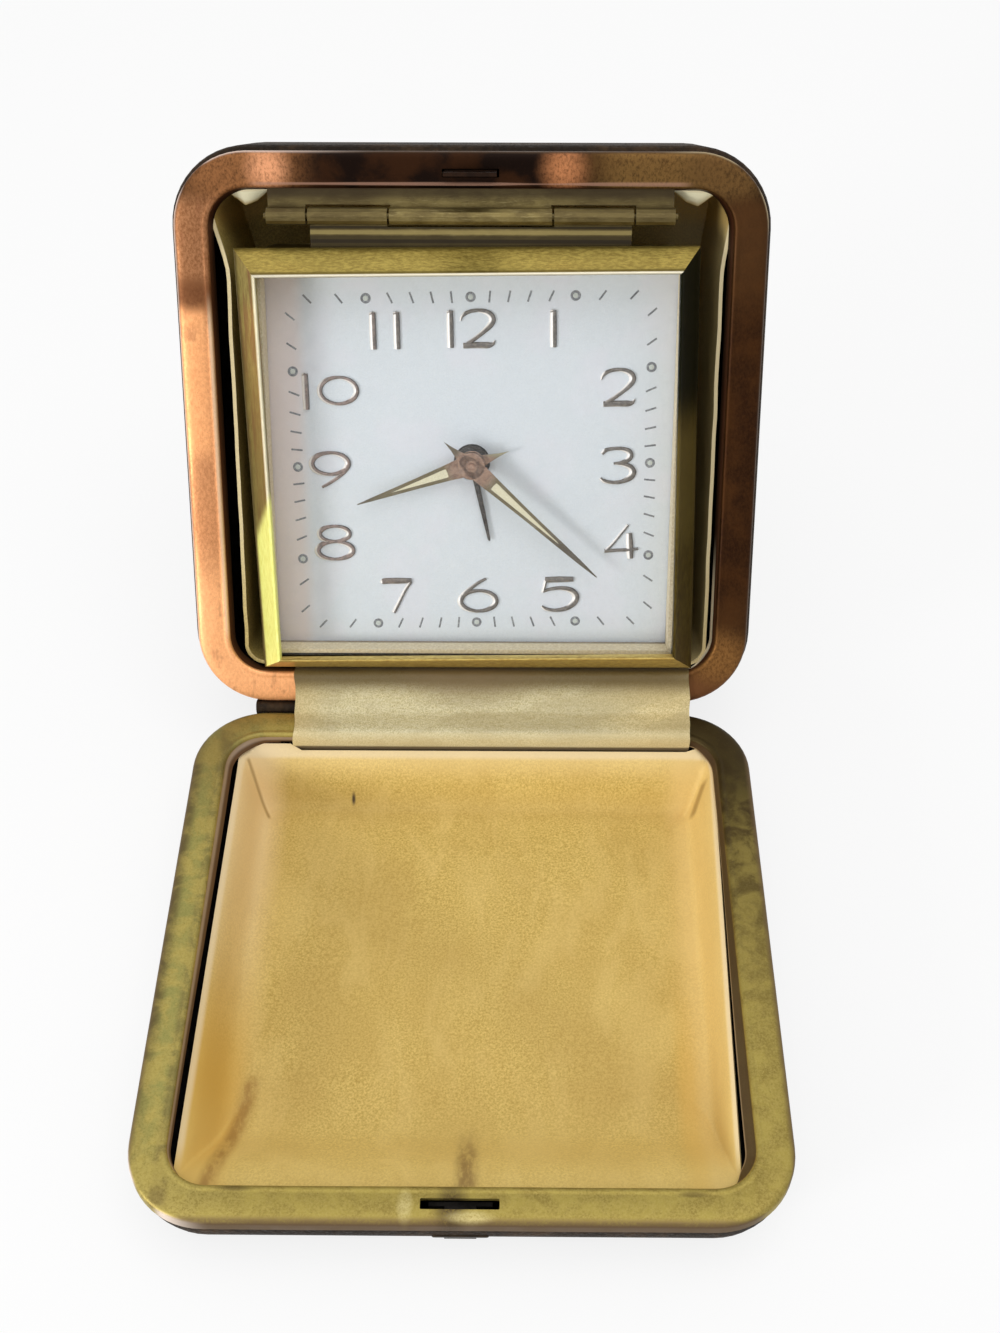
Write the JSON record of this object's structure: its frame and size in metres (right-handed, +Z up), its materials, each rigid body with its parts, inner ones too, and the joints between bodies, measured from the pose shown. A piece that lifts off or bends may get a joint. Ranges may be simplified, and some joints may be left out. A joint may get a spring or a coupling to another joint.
{
  "type": "travel alarm clock",
  "caption": "Folding travel alarm clock: a square dial and wind-up movement hinged inside a two-part leather-covered case with gilt rims and a lined lid.",
  "frame": {"origin": "middle of the footprint on the table, with the lid flat and the back half leaning open", "axes": "+Z up, +Y from the lid's front towards the leaning back half, +X to the right as seen from the front"},
  "size_m": [0.0814, 0.1386, 0.0798],
  "materials": {
    "leather": "grained, near black",
    "steel_pan": "plain stamped sheet",
    "lid_gilt": "gilt with an olive patina",
    "back_gilt": "rose gilt, worn",
    "gold_lining": "gold coated card",
    "satin": "cream satin",
    "brass": "polished, olive patina",
    "steel": "bright",
    "cream": "cream frame",
    "dial_white": "matt silver white",
    "rose_gilt": "rose gilt hands",
    "dark_steel": "blackened",
    "crystal": "clear"
  },
  "bodies": {
    "lid": {"lid_leather": "leather", "lid_pan": "steel_pan", "lid_rim": "lid_gilt", "lid_lining": "gold_lining", "spine_leather": "leather", "hinge_strip": "satin", "catch_spring": "steel"},
    "catch": {"catch_button": "lid_gilt", "catch_latch": "steel"},
    "back_half": {"back_leather": "leather", "back_pan": "steel_pan", "back_rim": "back_gilt", "back_lining": "gold_lining", "catch_tongue": "lid_gilt", "upper_hinge_leaf": "brass", "hinge_pin": "steel", "hinge_rivet_left": "brass", "hinge_rivet_right": "brass"},
    "clock": {"bezel": "brass", "crystal": "crystal", "dial_surround": "cream", "clock_box": "brass", "dial": "dial_white", "back_cover": "brass", "cover_screw_1": "steel", "cover_screw_2": "steel", "cover_screw_3": "steel", "cover_screw_4": "steel", "front_plate": "brass", "back_plate": "brass", "lower_hinge_leaf": "brass"},
    "minute_works": {"set_shaft": "steel", "time_set_knob": "brass", "minute_hand": "rose_gilt"},
    "minute_wheel_body": {"minute_wheel": "brass"},
    "hour_works": {"hour_wheel": "brass", "hour_hand": "rose_gilt"},
    "alarm_setting": {"alarm_set_arbor": "steel", "alarm_set_knob": "brass"},
    "alarm_pointer": {"alarm_wheel": "brass", "alarm_hand": "dark_steel"},
    "time_key": {"time_winding_key": "brass"},
    "alarm_key": {"alarm_winding_key": "brass"},
    "time_barrel_body": {"time_barrel": "brass"},
    "centre_arbor": {"centre_wheel": "brass"},
    "third_arbor": {"third_wheel": "brass"},
    "fourth_arbor": {"fourth_wheel": "brass"},
    "escape_arbor": {"escape_wheel": "brass"},
    "lever_arbor": {"pallet_lever": "steel"},
    "balance": {"balance_wheel": "brass"},
    "alarm_barrel_body": {"alarm_barrel": "brass"},
    "alarm_escape_arbor": {"alarm_escape_wheel": "brass"},
    "hammer": {"alarm_hammer": "steel"},
    "regulator": {"regulator_lever": "steel"},
    "alarm_stop": {"alarm_stop_button": "brass"}
  },
  "joints": [
    {"name": "case_hinge", "type": "hinge", "parent": "lid", "child": "back_half", "pos_m": [0, 0.00956, 0.0113], "axis": [1, 0, 0], "range_deg": [0, 119.05], "deforming": ["spine_leather", "hinge_strip"]},
    {"name": "clock_hinge", "type": "hinge", "parent": "back_half", "child": "clock", "pos_m": [0, 0.04391, 0.07241], "axis": [1, 0, 0], "range_deg": [-100, 0]},
    {"name": "catch_slide", "type": "slide", "parent": "lid", "child": "catch", "axis": [0, 1, 0], "range_m": [0, 0.0005], "stiffness_N_per_m": 400, "springref_m": -0.0006, "deforming": ["catch_spring"]},
    {"name": "time_setting", "type": "hinge", "parent": "clock", "child": "minute_works", "pos_m": [0, 0.02745, 0.04289], "axis": [0, -0.8742, 0.4856], "continuous": true},
    {"name": "minute_wheel_spin", "type": "hinge", "parent": "clock", "child": "minute_wheel_body", "pos_m": [-0.00339, 0.02581, 0.03992], "axis": [0, -0.8742, 0.4856], "continuous": true},
    {"name": "hour_spin", "type": "hinge", "parent": "clock", "child": "hour_works", "pos_m": [0, 0.02745, 0.04289], "axis": [0, -0.8742, 0.4856], "continuous": true},
    {"name": "alarm_setting_spin", "type": "hinge", "parent": "clock", "child": "alarm_setting", "pos_m": [0.00872, 0.02875, 0.04522], "axis": [0, -0.8742, 0.4856], "continuous": true},
    {"name": "alarm_pointer_spin", "type": "hinge", "parent": "clock", "child": "alarm_pointer", "pos_m": [0, 0.02745, 0.04289], "axis": [0, -0.8742, 0.4856], "continuous": true},
    {"name": "time_winding", "type": "hinge", "parent": "clock", "child": "time_key", "pos_m": [-0.00713, 0.02433, 0.03727], "axis": [0, -0.8742, 0.4856], "continuous": true},
    {"name": "alarm_winding", "type": "hinge", "parent": "clock", "child": "alarm_key", "pos_m": [0.013, 0.02357, 0.03589], "axis": [0, -0.8742, 0.4856], "continuous": true},
    {"name": "fourth_spin", "type": "hinge", "parent": "clock", "child": "fourth_arbor", "pos_m": [0.00285, 0.03176, 0.05063], "axis": [0, -0.8742, 0.4856], "continuous": true},
    {"name": "third_spin", "type": "hinge", "parent": "clock", "child": "third_arbor", "pos_m": [-0.00405, 0.03086, 0.04902], "axis": [0, -0.8742, 0.4856], "continuous": true},
    {"name": "centre_spin", "type": "hinge", "parent": "clock", "child": "centre_arbor", "pos_m": [0, 0.02745, 0.04289], "axis": [0, -0.8742, 0.4856], "continuous": true},
    {"name": "time_barrel_spin", "type": "hinge", "parent": "clock", "child": "time_barrel_body", "pos_m": [-0.00713, 0.02433, 0.03727], "axis": [0, -0.8742, 0.4856], "continuous": true},
    {"name": "escape_spin", "type": "hinge", "parent": "clock", "child": "escape_arbor", "pos_m": [0.00771, 0.03312, 0.05309], "axis": [0, -0.8742, 0.4856], "continuous": true},
    {"name": "lever_rock", "type": "hinge", "parent": "clock", "child": "lever_arbor", "pos_m": [0.01215, 0.03413, 0.0549], "axis": [0, -0.8742, 0.4856], "range_deg": [-4, 4]},
    {"name": "balance_swing", "type": "hinge", "parent": "clock", "child": "balance", "pos_m": [0.01694, 0.03425, 0.05512], "axis": [0, -0.8742, 0.4856], "range_deg": [-220, 220], "stiffness_Nm_per_rad": 0.00000035},
    {"name": "alarm_barrel_spin", "type": "hinge", "parent": "clock", "child": "alarm_barrel_body", "pos_m": [0.013, 0.02357, 0.03589], "axis": [0, -0.8742, 0.4856], "continuous": true},
    {"name": "alarm_escape_spin", "type": "hinge", "parent": "clock", "child": "alarm_escape_arbor", "pos_m": [0.00612, 0.02123, 0.03168], "axis": [0, -0.8742, 0.4856], "continuous": true},
    {"name": "hammer_rock", "type": "hinge", "parent": "clock", "child": "hammer", "pos_m": [0.00479, 0.01945, 0.02848], "axis": [0, -0.8742, 0.4856], "range_deg": [-4, 0]},
    {"name": "regulator_swing", "type": "hinge", "parent": "clock", "child": "regulator", "pos_m": [0.01694, 0.03425, 0.05512], "axis": [0, -0.8742, 0.4856], "range_deg": [-20, 20]},
    {"name": "alarm_stop_slide", "type": "slide", "parent": "clock", "child": "alarm_stop", "axis": [0, -0.8742, 0.4856], "range_m": [0, 0.002]}
  ],
  "couplings": [
    {"joint": "minute_wheel_spin", "follows": "time_setting", "ratio": -0.33333},
    {"joint": "hour_spin", "follows": "time_setting", "ratio": 0.083333},
    {"joint": "alarm_pointer_spin", "follows": "alarm_setting_spin", "ratio": -0.33333},
    {"joint": "third_spin", "follows": "fourth_spin", "ratio": -0.13333},
    {"joint": "centre_spin", "follows": "fourth_spin", "ratio": 0.016667},
    {"joint": "time_barrel_spin", "follows": "fourth_spin", "ratio": -0.002381},
    {"joint": "escape_spin", "follows": "fourth_spin", "ratio": -10},
    {"joint": "alarm_escape_spin", "follows": "alarm_barrel_spin", "ratio": -6}
  ]
}
